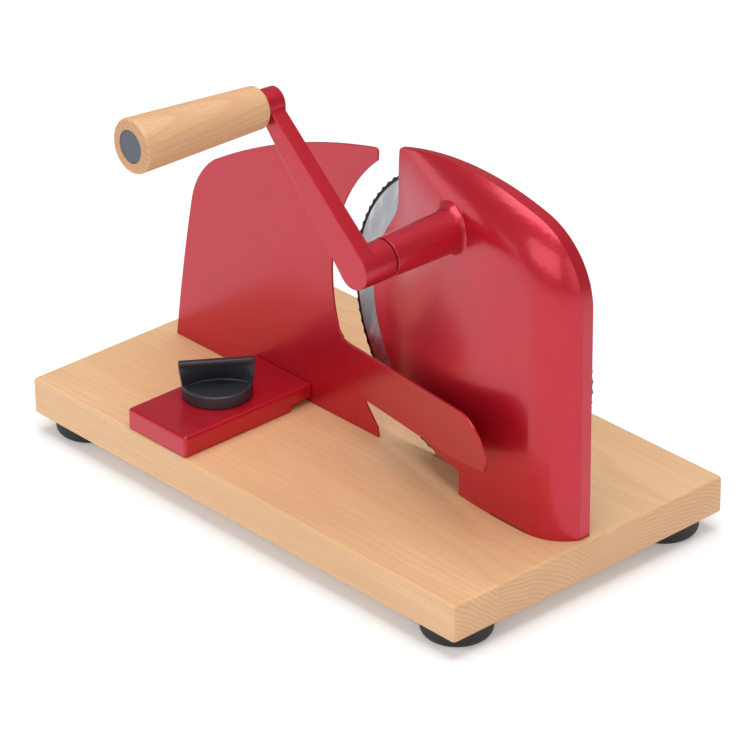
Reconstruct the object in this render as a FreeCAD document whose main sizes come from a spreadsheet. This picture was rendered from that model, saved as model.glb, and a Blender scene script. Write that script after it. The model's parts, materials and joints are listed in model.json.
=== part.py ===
import FreeCAD, Part
import math
import os
import re

import Sketcher

# Hand-cranked bread slicer: a beech board on rubber feet, a toothed disc blade in a shell
# housing, a crank that drives it through two spur gears, and a sliding stop plate, clamped by
# a knob, that sets the thickness of the slice.  Millimetres.
#
# Bench frame, in which the pieces are described: X from the board's left end, Y from its front
# edge, Z up from its top face.  Pieces on cross shafts are drawn in an elevation frame on their
# own axis: x is X, y is Z and z points to the front (minus Y).  Each finished piece is placed in
# the model's frame, with the origin midway along the whole object, at the underside of the feet.

Vector = FreeCAD.Vector

SIZES = {
    # board and feet
    "board_length": 360, "board_depth": 209, "board_thick": 22.7, "board_round": 2.5,
    "board_low_round": 1,
    "foot_dia": 41, "foot_height": 12, "foot_round": 5, "foot_inset_x": 23, "foot_inset_y": 24,
    "foot_recess_dia": 12, "foot_recess": 4, "foot_screw_dia": 4, "foot_screw_length": 20,
    "foot_head_dia": 9, "foot_head": 2.6,
    # blade: the place of its front face, its wheel and its teeth
    "cut_y": 108, "blade_dia": 190, "blade_thick": 1, "blade_x": 259.7, "blade_dip": 3.55,
    "blade_teeth": 92, "tooth_depth": 0.8, "blade_hole": 12, "blade_screw_pcd": 34,
    "blade_screw_dia": 4, "blade_screw_head_dia": 7, "blade_screw_head": 1.3,
    "slot_spare": 4, "slot_side": 1.5, "slot_floor": 2.5,
    # gears
    "gear_module": 1.5, "pinion_teeth": 29, "gear_teeth": 67, "crank_offset": 7.3,
    "gear_thick": 2, "gear_back_gap": 0.7, "backlash": 0.35, "gear_hub_dia": 24,
    "gear_seat_dia": 44, "pinion_hub_dia": 17, "hub_reach": 4,
    # housing
    "blade_gap": 1, "housing_depth": 24, "housing_top": 193.9, "housing_top_radius": 204,
    "housing_peak_x": 263.3, "housing_right": 356, "housing_corner": 48, "housing_left": 206.5,
    "housing_foot_left": 273, "bulge_radius": 76.5, "bulge_blend": 30, "toe_blend": 4,
    "tip_round": 2.5, "wall": 2.2, "face_radius": 300, "face_apex_x": 315, "flange_thick": 2,
    "flange_blend": 60, "edge_roll": 37, "roll_overlap": 6.5, "foot_block_top": 14,
    "foot_block_depth": 15, "foot_block_inset": 12, "housing_screw_dia": 4,
    "housing_screw_head_dia": 9, "housing_screw_head": 3, "housing_screw_sunk": 6,
    "housing_screw_bite": 10, "housing_screw_spacing": 27, "housing_screw_shift": 4,
    "head_side": 0.5,
    # crank bearing boss and blade post
    "boss_front": 37, "boss_tip_dia": 22.8, "boss_base_dia": 24.6, "boss_flare_dia": 33,
    "boss_flare": 3.2, "boss_root": 2, "boss_core_dia": 22, "post_dia": 24, "post_skin": 2.4,
    # shafts, bushes and fits
    "shaft_dia": 10, "shaft_flat": 0.5, "shaft_end": 0.2, "bush_dia": 14, "crank_bush_length": 16,
    "running": 0.05, "slip": 0.03, "side_play": 0.3, "retainer_dia": 22, "retainer_head": 2,
    "retainer_screw_dia": 5, "retainer_bite": 9, "retainer_slot": 1.6,
    # crank
    "arm_front": 13.5, "arm_thick": 10, "hub_dia": 22.4, "hub_skin": 4.5, "crank_radius": 102.5,
    "crank_angle": 134.6, "arm_tip_width": 9, "eye_dia": 17.6, "eye_proud": 0.8,
    "crank_washer": 0.6, "crank_washer_dia": 20.8, "set_screw_dia": 5, "set_screw_from_back": 7,
    "set_screw_sunk": 0.6, "set_screw_socket": 2.5,
    # handle
    "grip_length": 87, "grip_inner_dia": 24, "grip_outer_dia": 31, "grip_round": 2.2,
    "grip_inner_round": 2, "grip_splay": 3, "handle_washer": 1.2, "handle_washer_dia": 15, "spindle_dia": 8,
    "spindle_thread": 6, "spindle_head_dia": 13, "spindle_head": 5, "head_room_dia": 14.4,
    "cap_dia": 18.5, "cap_thick": 4, "cap_sunk": 0.4, "cap_round": 0.6, "cap_to_head": 0.6,
    # stop plate: a sheet on edge with a strap bent forward at its lower right
    "slice_rest": 8.5, "plate_thick": 1.5, "slide_gap": 0.2, "plate_left": 15.8,
    "plate_foot_right": 194, "plate_tip_x": 195.8, "plate_tip_z": 183.6, "plate_tip_cut": 8,
    "plate_tip_round": 2.5, "plate_shoulder_x": 55, "plate_shoulder_z": 128.4, "plate_flank_x": 33,
    "plate_flank_z": 94.4, "plate_top_radius": 450, "plate_shoulder_radius": 56,
    "plate_flank_radius": 1300, "mouth_radius": 111, "mouth_x": 266.7, "mouth_z": 90.8,
    "strap_root_x": 161.8, "strap_root_z": 53, "strap_low_x": 183.2, "strap_low_z": 20,
    "strap_bend": 15, "strap_lap": 2, "plate_toe_x": 1, "plate_toe_z": 6,
    "mouth_rise": 4, "strap_throat": 10, "strap_top_x": 301, "strap_top_z": 71.5,
    "strap_nose_x": 319.8, "strap_nose_z": 46, "strap_nose_radius": 21.6,
    "strap_tip_x": 317.6, "strap_tip_z": 40.8, "strap_knee_x": 280, "strap_knee_z": 31.4,
    # slide block and its clamp
    "block_left": 86, "block_right": 137, "block_front": 1.5, "block_height": 13,
    "block_round": 2.2, "bridge_depth": 16, "bridge_rise": 4, "bridge_inset": 5,
    "plate_screw_dia": 4, "plate_screw_head_dia": 7.8, "plate_screw_spacing": 30,
    "plate_screw_length": 12, "knob_x": 108.3, "knob_y": 50.6, "key_width": 8,
    "key_length": 34, "key_height": 11, "key_side": 0.2, "travel_in": 5.8, "travel_out": 9.8,
    "travel_spare": 1.5, "recess_depth": 11, "clamp_plate_width": 38, "clamp_plate_length": 34,
    "clamp_plate_thick": 2.4, "clamp_side": 2, "bolt_dia": 6, "bolt_hole": 6.6,
    "bolt_head_dia": 13, "bolt_head": 4, "key_screw_dia": 3, "key_screw_head_dia": 5.6,
    "key_screw_head": 2, "key_screw_bite": 8, "key_screw_spacing": 24,
    # knob
    "knob_dia": 41.5, "knob_lift": 0.3, "knob_top": 21, "knob_angle": 57.4, "knob_rim": 2.6,
    "knob_floor_drop": 1.6, "knob_round": 1.2, "wing_top": 34.5, "wing_top_length": 45.5,
    "wing_thick": 6, "wing_waist": 3.4, "knob_washer_dia": 18, "knob_washer": 1,
    "wing_low_length": 40.5, "wing_root": 0.5, "knob_washer_side": 0.5, "insert_dia": 12,
    "insert_height": 4.2,
    # how far a tool runs past what it cuts, and a bounding form past the housing
    "over": 1, "beyond": 10,
}
# tolerances when edges are picked, the second one for places worked out with roots
TINY = 1e-6
NEAR = 1e-3

doc = FreeCAD.newDocument("bread_slicer")
sheet = doc.addObject("Spreadsheet::Sheet", "Size")
for row, (alias, number) in enumerate(SIZES.items(), 1):
    sheet.set("A%d" % row, alias)
    sheet.set("B%d" % row, str(number))
    sheet.setAlias("B%d" % row, alias)
doc.recompute()


def cells(text):
    """The expression with the sheet's name put before each of its aliases."""
    return re.sub(r"[a-z_]+", lambda word: ("Size." if word[0] in SIZES else "") + word[0], text)


def value(text):
    """The number that an expression of the sheet's aliases has now."""
    return float(sheet.evalExpression(cells(text)))


def bind(thing, **texts):
    """Bind properties to expressions; a double underscore in a name stands for a dot."""
    for name, text in texts.items():
        thing.setExpression(name.replace("__", "."), cells(text))
    return thing


# --- places worked out from the sizes --------------------------------------------------------
RIM = "(cut_y - blade_gap)"
FACE = "(cut_y - blade_gap - housing_depth)"
BLADE_Z = "(blade_dia / 2 - blade_dip)"
BLADE_BACK = "(cut_y + blade_thick)"
GEAR_BACK = "(cut_y - gear_back_gap)"
GEAR_FRONT = "(cut_y - gear_back_gap - gear_thick)"
CENTRES = "(gear_module * (pinion_teeth + gear_teeth) / 2)"
CRANK_X = "(blade_x + crank_offset)"
CRANK_Z = f"({BLADE_Z} + sqrt({CENTRES}^2 - crank_offset^2))"
MESH_ANGLE = f"acos(crank_offset / {CENTRES})"
HUB_FRONT = f"({GEAR_FRONT} - hub_reach)"
BUSH_BACK = f"({HUB_FRONT} - side_play)"
AXLE_BACK = f"({BLADE_BACK} + side_play)"
HUB_BACK = "(boss_front - crank_washer - side_play)"
PLATE_BACK = "(cut_y - slice_rest)"
PLATE_FRONT = "(cut_y - slice_rest - plate_thick)"
BOARD_LOW = "(-board_thick)"
RECESS_TOP = "(recess_depth - board_thick)"
CLAMP_TOP = f"({RECESS_TOP} - slide_gap)"
CLAMP_LOW = f"({CLAMP_TOP} - clamp_plate_thick)"


def face_at(x):
    """The Y of the housing's face where it is one arc, at bench X."""
    return f"({FACE} + face_radius - sqrt(face_radius^2 - (face_apex_x - {x})^2))"


# the grip's outer end, measured along Y from the arm's front face
GRIP_REACH = ("((handle_washer + grip_length - grip_round) * cos(grip_splay)"
              " + (grip_outer_dia / 2 - grip_round) * sin(grip_splay) + grip_round)")
MIDDLE_Y = f"((board_depth + arm_front - {GRIP_REACH}) / 2)"
DECK_Z = "(board_thick + foot_height)"


def turned(base, axis, angle):
    """A placement at a base point, turned about an axis."""
    return f"placement(vector({base}); rotation(vector({axis}); {angle}))"


def moved(x, y, z):
    """A placement at x, y, z, not turned."""
    return turned(f"{x}; {y}; {z}", "0; 0; 1", "0")


def elevation(x, z, turn="0"):
    """Placement of an elevation frame on the cross axis at bench X and Z, turned about it."""
    return (turned(f"{x} - board_length / 2; -{MIDDLE_Y}; {z} + {DECK_Z}", "1; 0; 0", "90")
            + " * " + turned("0; 0; 0", "0; 0; 1", turn))


BENCH = moved("-board_length / 2", f"-{MIDDLE_Y}", DECK_Z)
UPRIGHT = elevation("0", "0")
ON_BLADE = elevation("blade_x", BLADE_Z)
ON_CRANK = elevation(CRANK_X, CRANK_Z)
ON_ARM = elevation(CRANK_X, CRANK_Z, "crank_angle")
ON_GRIP = f"{ON_ARM} * {turned('crank_radius; 0; -arm_front', '0; 1; 0', 'grip_splay')}"
AT_KNOB = f"{BENCH} * {moved('knob_x', 'knob_y', '0')}"


# --- shapes ----------------------------------------------------------------------------------
stands = {}


def stand(thing, place):
    """Place a primitive in its drawing, and note where, for when it is a whole sub-part."""
    stands[thing.Name] = place
    return bind(thing, Placement=place)


def box(name, x, y, z):
    """A box between a pair of expressions on each axis."""
    thing = doc.addObject("Part::Box", name)
    bind(thing, Length=f"{x[1]} - ({x[0]})", Width=f"{y[1]} - ({y[0]})",
         Height=f"{z[1]} - ({z[0]})")
    return stand(thing, moved(x[0], y[0], z[0]))


def rod(name, diameter, low, high, x="0", y="0", at=moved("0", "0", "0")):
    """A cylinder along z from low to high."""
    thing = doc.addObject("Part::Cylinder", name)
    bind(thing, Radius=f"({diameter}) / 2", Height=f"{high} - ({low})")
    return stand(thing, f"{at} * {moved(x, y, low)}")


def taper(name, low_diameter, high_diameter, low, high, x="0", y="0"):
    """A cone along z, with its two diameters."""
    thing = doc.addObject("Part::Cone", name)
    bind(thing, Radius1=f"({low_diameter}) / 2", Radius2=f"({high_diameter}) / 2",
         Height=f"{high} - ({low})")
    return stand(thing, moved(x, y, low))


def hexagon(name, across, low, high):
    """A six-sided bar along z, with its width across the flats."""
    thing = doc.addObject("Part::Prism", name)
    bind(thing, Circumradius=f"({across}) / sqrt(3)", Height=f"{high} - ({low})")
    return stand(thing, moved("0", "0", low))


def barrel(name, diameter, front, back, x="0", y="0"):
    """In an elevation frame, a cylinder between two bench Y values."""
    return rod(name, diameter, f"-({back})", f"-({front})", x, y)


def fuse(name, *things):
    whole = doc.addObject("Part::MultiFuse", name)
    whole.Shapes = list(things)
    return whole


def common(name, *things):
    shared = doc.addObject("Part::MultiCommon", name)
    shared.Shapes = list(things)
    return shared


def cut(name, base, *tools):
    left = doc.addObject("Part::Cut", name)
    left.Base = base
    left.Tool = tools[0] if len(tools) == 1 else fuse(name + "_tools", *tools)
    return left


def rounded(name, base, radius, pick):
    """Fillet the edges of base that pick chooses."""
    doc.recompute()
    size = value(radius)
    thing = doc.addObject("Part::Fillet", name)
    thing.Base = base
    thing.Edges = [(i, size, size) for i, edge in enumerate(base.Shape.Edges, 1) if pick(edge)]
    return thing


def outline(name, corners):
    """Closed sketch whose corners are (x, y), or (x, y, turn, radius) where an arc leaves the
    corner, turning left (1) or right (-1).  Corners run anticlockwise."""
    sketch = doc.addObject("Sketcher::SketchObject", name)
    points = [Vector(value(c[0]), value(c[1]), 0) for c in corners]
    for i, corner in enumerate(corners):
        start = points[i]
        end = points[(i + 1) % len(points)]
        if len(corner) == 2:
            sketch.addGeometry(Part.LineSegment(start, end))
            continue
        chord = end - start
        half = chord.Length / 2
        radius = value(corner[3])
        rise = radius - math.sqrt(radius ** 2 - half ** 2)
        outward = Vector(chord.y, -chord.x, 0).normalize() * corner[2]
        sketch.addGeometry(Part.Arc(start, (start + end) / 2 + outward * rise, end))
    first = [2 if len(c) > 2 and c[2] < 0 else 1 for c in corners]
    for i, corner in enumerate(corners):
        following = (i + 1) % len(corners)
        sketch.addConstraint(Sketcher.Constraint(
            "Coincident", i, 3 - first[i], following, first[following]))
        for kind, text in (("DistanceX", corner[0]), ("DistanceY", corner[1])):
            number = sketch.addConstraint(Sketcher.Constraint(
                kind, -1, 1, i, first[i], value(text)))
            sketch.setExpression("Constraints[%d]" % number, cells(text))
        if len(corner) > 2:
            number = sketch.addConstraint(Sketcher.Constraint("Radius", i, value(corner[3])))
            sketch.setExpression("Constraints[%d]" % number, cells(corner[3]))
    return sketch


def inset(name, sketch, distance):
    """The outline moved inwards by a distance."""
    inner = doc.addObject("Part::Offset2D", name)
    inner.Source = sketch
    inner.Mode = "Pipe"
    inner.Join = "Arc"
    return bind(inner, Value=f"-({distance})")


def slab(name, profile, low, high, along=(0, 0, 1)):
    """A profile drawn at zero, raised to run from low to high along an axis."""
    thing = doc.addObject("Part::Extrusion", name)
    thing.Base = profile
    thing.DirMode = "Custom"
    thing.Dir = Vector(*along)
    thing.Solid = True
    return bind(thing, LengthFwd=high, LengthRev=f"-({low})")


finished = []


def finish(thing, place):
    """Place a finished sub-part in the model's frame; its label names its file."""
    if thing.Name in stands:
        place = f"{place} * {stands[thing.Name]}"
    bind(thing, Placement=place)
    thing.Label = thing.Name
    finished.append(thing)
    return thing


def is_upright(edge):
    """Whether an edge runs straight along z."""
    box_ = edge.BoundBox
    return box_.XLength < TINY and box_.YLength < TINY


def middle(edge):
    return edge.CenterOfMass


# --- board and feet --------------------------------------------------------------------------
def foot_centres():
    for side_y, y in (("front", "foot_inset_y"), ("back", "(board_depth - foot_inset_y)")):
        for side_x, x in (("left", "foot_inset_x"), ("right", "(board_length - foot_inset_x)")):
            yield f"{side_y}_{side_x}", x, y


HOUSING_SCREW_Y = f"({RIM} - foot_block_depth / 2)"
HOUSING_SCREW_X = ["((housing_foot_left + housing_right) / 2 - housing_screw_shift"
                   f" {step} * housing_screw_spacing)" for step in ("- 1", "+ 0", "+ 1")]


def base_board():
    blank = box("board_blank", ("0", "board_length"), ("0", "board_depth"), (BOARD_LOW, "0"))
    low_z = value(BOARD_LOW)

    def is_low(edge):
        return abs(middle(edge).z - low_z) < TINY
    top_eased = rounded("board_top_eased", blank, "board_round", lambda edge: not is_low(edge))
    eased = rounded("board_eased", top_eased, "board_low_round", is_low)
    half_chord = f"(sqrt((blade_dia / 2)^2 - {BLADE_Z}^2) + slot_spare)"
    reach = "(key_length / 2 + travel_spare)"
    plate_x = "(clamp_plate_width / 2 + clamp_side)"
    plate_y = "(clamp_plate_length / 2 + travel_spare)"
    tools = [
        box("blade_slot", (f"(blade_x - {half_chord})", f"(blade_x + {half_chord})"),
            ("(cut_y - slot_side)", f"({BLADE_BACK} + slot_side)"),
            ("(-blade_dip - slot_floor)", "over")),
        box("guide_slot", ("(knob_x - key_width / 2 - key_side)",
                           "(knob_x + key_width / 2 + key_side)"),
            (f"(knob_y - {reach} - travel_out)", f"(knob_y + {reach} + travel_in)"),
            (f"({BOARD_LOW} - over)", "over")),
        box("clamp_recess", (f"(knob_x - {plate_x})", f"(knob_x + {plate_x})"),
            (f"(knob_y - {plate_y} - travel_out)", f"(knob_y + {plate_y} + travel_in)"),
            (f"({BOARD_LOW} - over)", RECESS_TOP)),
    ]
    for i, x in enumerate(HOUSING_SCREW_X):
        tools.append(rod(f"screw_way_{i}", "housing_screw_dia + 2 * running",
                         f"({BOARD_LOW} - over)", "over", x, HOUSING_SCREW_Y))
        tools.append(rod(f"screw_sink_{i}", "housing_screw_head_dia + 2 * head_side",
                         f"({BOARD_LOW} - over)", f"({BOARD_LOW} + housing_screw_sunk)",
                         x, HOUSING_SCREW_Y))
    for name, x, y in foot_centres():
        tools.append(rod(f"foot_pilot_{name}", "foot_screw_dia + 2 * slip",
                         f"({BOARD_LOW} - over)",
                         f"({BOARD_LOW} - foot_height + foot_recess + foot_screw_length)", x, y))
    finish(cut("base_board", eased, *tools), BENCH)


def feet():
    low = f"({BOARD_LOW} - foot_height)"
    seat = f"({low} + foot_recess)"
    screws = []
    for name, x, y in foot_centres():
        disc = rod(f"foot_disc_{name}", "foot_dia", low, BOARD_LOW, x, y)
        edge_z = value(low)
        eased = rounded(f"foot_eased_{name}", disc, "foot_round",
                        lambda edge: abs(middle(edge).z - edge_z) < TINY)
        foot = cut(f"foot_{name}", eased,
                   rod(f"foot_sink_{name}", "foot_recess_dia", f"({low} - over)", seat, x, y),
                   rod(f"foot_way_{name}", "foot_screw_dia + 2 * slip",
                       seat, f"({BOARD_LOW} + over)", x, y))
        finish(foot, BENCH)
        screws.append(rod(f"foot_shank_{name}", "foot_screw_dia", seat,
                          f"({seat} + foot_screw_length)", x, y))
        screws.append(rod(f"foot_head_{name}", "foot_head_dia", f"({seat} - foot_head)",
                          seat, x, y))
    finish(fuse("foot_screws", *screws), BENCH)


# --- housing ---------------------------------------------------------------------------------
TOP_Z = "(housing_top - housing_top_radius)"
CORNER_X = "(housing_right - housing_corner)"
CORNER_Z = (f"({TOP_Z} + sqrt((housing_top_radius - housing_corner)^2"
            f" - ({CORNER_X} - housing_peak_x)^2))")
FAR_LEFT = "(blade_x - bulge_radius - beyond)"


def top_and_right(left, low, grow):
    """Corners of the housing's top arc, corner arc and right edge, all moved out by grow."""
    reach = f"(housing_top_radius + {grow}) / (housing_top_radius - housing_corner)"
    return [
        (f"(housing_right + {grow})", low),
        (f"(housing_right + {grow})", CORNER_Z, 1, f"(housing_corner + {grow})"),
        (f"(housing_peak_x + ({CORNER_X} - housing_peak_x) * {reach})",
         f"({TOP_Z} + ({CORNER_Z} - {TOP_Z}) * {reach})", 1, f"(housing_top_radius + {grow})"),
        (left, f"({TOP_Z} + sqrt((housing_top_radius + {grow})^2"
               f" - ({left} - housing_peak_x)^2))"),
    ]


def housing_edge():
    """The housing seen from the front, with its corners still sharp."""
    shoulder = f"({BLADE_Z} + sqrt(bulge_radius^2 - (blade_x - housing_left)^2))"
    toe = f"({BLADE_Z} - sqrt(bulge_radius^2 - (housing_foot_left - blade_x)^2))"
    return outline("housing_edge", [("housing_foot_left", "0")]
                   + top_and_right("housing_left", "0", "0")
                   + [("housing_left", shoulder, 1, "bulge_radius"),
                      ("housing_foot_left", toe)])


def housing_plan():
    """The space behind the face, seen from above: a flat flange on the left, a hollow blend,
    the long convex face and its flat part on the right."""
    flange = f"({RIM} - flange_thick)"
    hollow_y = f"({flange} - flange_blend)"
    centre_y = f"({FACE} + face_radius)"
    span = "(face_radius + flange_blend)"
    hollow_x = f"(face_apex_x - sqrt({span}^2 - ({centre_y} - {hollow_y})^2))"
    share = f"face_radius / {span}"
    plan = outline("housing_plan", [
        (FAR_LEFT, flange),
        (hollow_x, flange, -1, "flange_blend"),
        (f"(face_apex_x - (face_apex_x - {hollow_x}) * {share})",
         f"({centre_y} - ({centre_y} - {hollow_y}) * {share})", 1, "face_radius"),
        ("face_apex_x", FACE),
        ("(housing_right + beyond)", FACE),
        ("(housing_right + beyond)", f"({RIM} + beyond)"),
        (FAR_LEFT, f"({RIM} + beyond)"),
    ])
    plan.Placement = FreeCAD.Placement(Vector(), FreeCAD.Rotation(Vector(1, 0, 0), -90))
    return plan


def rolled_block(name, profile, front, radius):
    """A block whose front edge is rolled over along the top, the corner and the right."""
    block = slab(f"{name}_block", profile, f"-({FACE} + edge_roll + beyond)", f"-({front})")
    doc.recompute()
    plane = -value(front)
    sides = block.Shape.BoundBox

    def on_roll(edge):
        centre = middle(edge)
        in_front = abs(centre.z - plane) < TINY and edge.BoundBox.ZLength < TINY
        return in_front and centre.x > sides.XMin + TINY and centre.y > sides.YMin + TINY
    return rounded(f"{name}_rolled", block, radius, on_roll)


def near(x, y):
    """Picks the upright edge that stands at x, y."""
    place = Vector(value(x), value(y), 0)

    def pick(edge):
        centre = middle(edge)
        return is_upright(edge) and (Vector(centre.x, centre.y, 0) - place).Length < NEAR
    return pick


def blade_housing():
    edge = housing_edge()
    plan = housing_plan()
    form = outline("housing_form", [(FAR_LEFT, "-beyond")]
                   + top_and_right(FAR_LEFT, "-beyond", "roll_overlap"))
    block = slab("housing_block", edge, f"-{RIM}", f"-({FACE} - over)")
    corners = [("tip", "tip_round", "housing_left", f"({TOP_Z} + sqrt(housing_top_radius^2"
                f" - (housing_left - housing_peak_x)^2))"),
               ("waist", "bulge_blend", "housing_left",
                f"({BLADE_Z} + sqrt(bulge_radius^2 - (blade_x - housing_left)^2))"),
               ("toe", "toe_blend", "housing_foot_left",
                f"({BLADE_Z} - sqrt(bulge_radius^2 - (housing_foot_left - blade_x)^2))")]
    for name, radius, x, z in corners:
        block = rounded(f"housing_{name}", block, radius, near(x, z))
    top = "(housing_top + beyond)"
    outer = common("housing_outer", block, rolled_block("outer", form, FACE, "edge_roll"),
                   slab("outer_face", plan, "-beyond", top, (0, 1, 0)))
    inner = common("housing_inner",
                   slab("inner_block", inset("inner_edge", edge, "wall"),
                        f"-({RIM} + over)", f"-{FACE}"),
                   rolled_block("inner", inset("inner_form", form, "wall"),
                                f"({FACE} + wall)", "edge_roll - wall"),
                   slab("inner_face", inset("inner_plan", plan, "wall"), "-beyond", top, (0, 1, 0)))
    block_x = ("(housing_foot_left - over)", "(housing_right - foot_block_inset)")
    cores = [barrel("boss_core", "boss_core_dia", FACE, BUSH_BACK, CRANK_X, CRANK_Z),
             barrel("post_core", "post_dia", FACE, BUSH_BACK, "blade_x", BLADE_Z),
             box("foot_core", block_x, ("-over", "foot_block_top"),
                 (f"(-{RIM} - over)", f"(foot_block_depth - {RIM})"))]
    shell = cut("housing_shell", outer, cut("housing_hollow", inner, *cores))
    base_y = face_at(CRANK_X)
    boss = fuse("housing_boss",
                taper("boss_tube", "boss_base_dia", "boss_tip_dia", f"(-{base_y} - boss_root)",
                      "-boss_front", CRANK_X, CRANK_Z),
                taper("boss_flare_cone", "boss_flare_dia", "boss_base_dia",
                      f"(-{base_y} - boss_root)", f"(boss_flare - {base_y})", CRANK_X, CRANK_Z))
    bores = [barrel("crank_bore", "bush_dia + 2 * slip", "(boss_front - over)",
                    f"({BUSH_BACK} + over)", CRANK_X, CRANK_Z),
             barrel("axle_bore", "shaft_dia + 2 * slip",
                    f"({face_at('blade_x')} + post_skin)", f"({BUSH_BACK} + over)",
                    "blade_x", BLADE_Z)]
    for i, x in enumerate(HOUSING_SCREW_X):
        bores.append(rod(f"housing_screw_hole_{i}", "housing_screw_dia + 2 * slip", "-over",
                         "(housing_screw_bite + over)",
                         at=turned(f"{x}; 0; -{HOUSING_SCREW_Y}", "1; 0; 0", "-90")))
    finish(cut("blade_housing", fuse("housing_body", shell, boss), *bores), UPRIGHT)


def housing_screws():
    seat = f"({BOARD_LOW} + housing_screw_sunk)"
    screws = []
    for i, x in enumerate(HOUSING_SCREW_X):
        screws.append(rod(f"housing_shank_{i}", "housing_screw_dia", seat,
                          "housing_screw_bite", x, HOUSING_SCREW_Y))
        screws.append(rod(f"housing_head_{i}", "housing_screw_head_dia",
                          f"({seat} - housing_screw_head)", seat, x, HOUSING_SCREW_Y))
    finish(fuse("housing_screws", *screws), BENCH)


# --- shafts, bushes and gears ----------------------------------------------------------------
SET_SCREW_Y = f"({HUB_BACK} - set_screw_from_back)"
SHAFT_FLAT = "(shaft_dia / 2 - shaft_flat)"


def bush(name, front, back, place):
    sleeve = cut(name, barrel(f"{name}_sleeve", "bush_dia", front, back),
                 barrel(f"{name}_bore", "shaft_dia + 2 * running", f"{front} - over",
                        f"{back} + over"))
    finish(sleeve, place)


def crank_bearings():
    bush("crank_bush_front", "(boss_front + side_play)",
         "(boss_front + side_play + crank_bush_length)", ON_CRANK)
    bush("crank_bush_rear", f"({BUSH_BACK} - crank_bush_length)", BUSH_BACK, ON_CRANK)
    flat = box("shaft_flat_cut", ("-shaft_dia", "shaft_dia"), (SHAFT_FLAT, "shaft_dia"),
               (f"(-{SET_SCREW_Y} - set_screw_dia)", f"(set_screw_dia - {SET_SCREW_Y})"))
    finish(cut("crank_shaft", barrel("shaft_rod", "shaft_dia", "(arm_front + hub_skin + slip)",
                                     f"({GEAR_BACK} + shaft_end)"), flat), ON_ARM)


def gear_blank(name, teeth, low, high):
    """A spur gear with a tooth centred on +x: involute flanks as arcs through three points."""
    module = value("gear_module")
    count = int(value(teeth))
    pitch = module * count / 2
    base = pitch * math.cos(math.radians(20))
    tip = pitch + module
    root = pitch - 1.25 * module
    start = max(base, root)
    half = (math.pi * module - value("backlash")) / 4 / pitch

    def involute(radius):
        roll = math.sqrt(max(radius ** 2 / base ** 2 - 1, 0))
        return roll - math.atan(roll)

    def spot(radius, angle):
        return Vector(radius * math.cos(angle), radius * math.sin(angle), 0)

    def flank(radius, centre, side):
        return spot(radius, centre + side * (half + involute(pitch) - involute(radius)))

    edges = []
    for i in range(count):
        centre = 2 * math.pi * i / count
        gap = centre + math.pi / count
        levels = (start, (start + tip) / 2, tip)
        rise = [flank(r, centre, -1) for r in levels]
        fall = [flank(r, centre, 1) for r in reversed(levels)]
        following = flank(start, centre + 2 * math.pi / count, -1)
        edges.append(Part.Arc(*rise).toShape())
        edges.append(Part.Arc(rise[2], spot(tip, centre), fall[0]).toShape())
        edges.append(Part.Arc(*fall).toShape())
        edges.append(Part.Arc(fall[2], spot(root, gap), following).toShape())
    wheel = doc.addObject("Part::Feature", name)
    solid = Part.Face(Part.Wire(edges)).extrude(Vector(0, 0, value(high) - value(low)))
    solid.translate(Vector(0, 0, value(low)))
    wheel.Shape = solid
    return wheel


def drive_pinion():
    teeth = gear_blank("pinion_blank", "pinion_teeth", f"-{GEAR_BACK}", f"-{GEAR_FRONT}")
    body = fuse("pinion_body", teeth,
                barrel("pinion_hub", "pinion_hub_dia", HUB_FRONT, GEAR_BACK))
    wheel = cut("drive_pinion", body,
                barrel("pinion_bore", "shaft_dia + 2 * slip", f"({HUB_FRONT} - over)",
                       f"({GEAR_BACK} + over)"))
    finish(wheel, elevation(CRANK_X, CRANK_Z, f"({MESH_ANGLE} + 180deg + 180deg / pinion_teeth)"))


def spread(count, radius, make):
    """Copies made at equal angles round the z axis: make gets an index and x, y."""
    return [make(i, f"({radius} * cos({360 * i / count}))",
                 f"({radius} * sin({360 * i / count}))") for i in range(count)]


def blade_drive():
    teeth = gear_blank("gear_blank", "gear_teeth", f"-{GEAR_BACK}", f"-{GEAR_FRONT}")
    body = fuse("gear_body", teeth,
                barrel("gear_hub", "gear_hub_dia", HUB_FRONT, GEAR_BACK),
                barrel("gear_seat", "gear_seat_dia", GEAR_FRONT, "cut_y"))
    holes = spread(3, "blade_screw_pcd / 2", lambda i, x, y: barrel(
        f"gear_hole_{i}", "blade_screw_dia + 2 * slip", f"({GEAR_FRONT} - over)", "(cut_y + over)",
        x, y))
    wheel = cut("blade_gear", body,
                barrel("gear_bore", "bush_dia + 2 * slip", f"({HUB_FRONT} - over)", "(cut_y + over)"),
                *holes)
    finish(wheel, elevation("blade_x", BLADE_Z, MESH_ANGLE))
    bush("blade_bush", HUB_FRONT, "cut_y", ON_BLADE)
    axle = cut("blade_axle",
               barrel("axle_rod", "shaft_dia", f"({face_at('blade_x')} + post_skin + slip)",
                      AXLE_BACK),
               barrel("axle_thread", "retainer_screw_dia + 2 * slip",
                      f"({AXLE_BACK} - retainer_bite - over)", f"({AXLE_BACK} + over)"))
    finish(axle, ON_BLADE)


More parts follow.
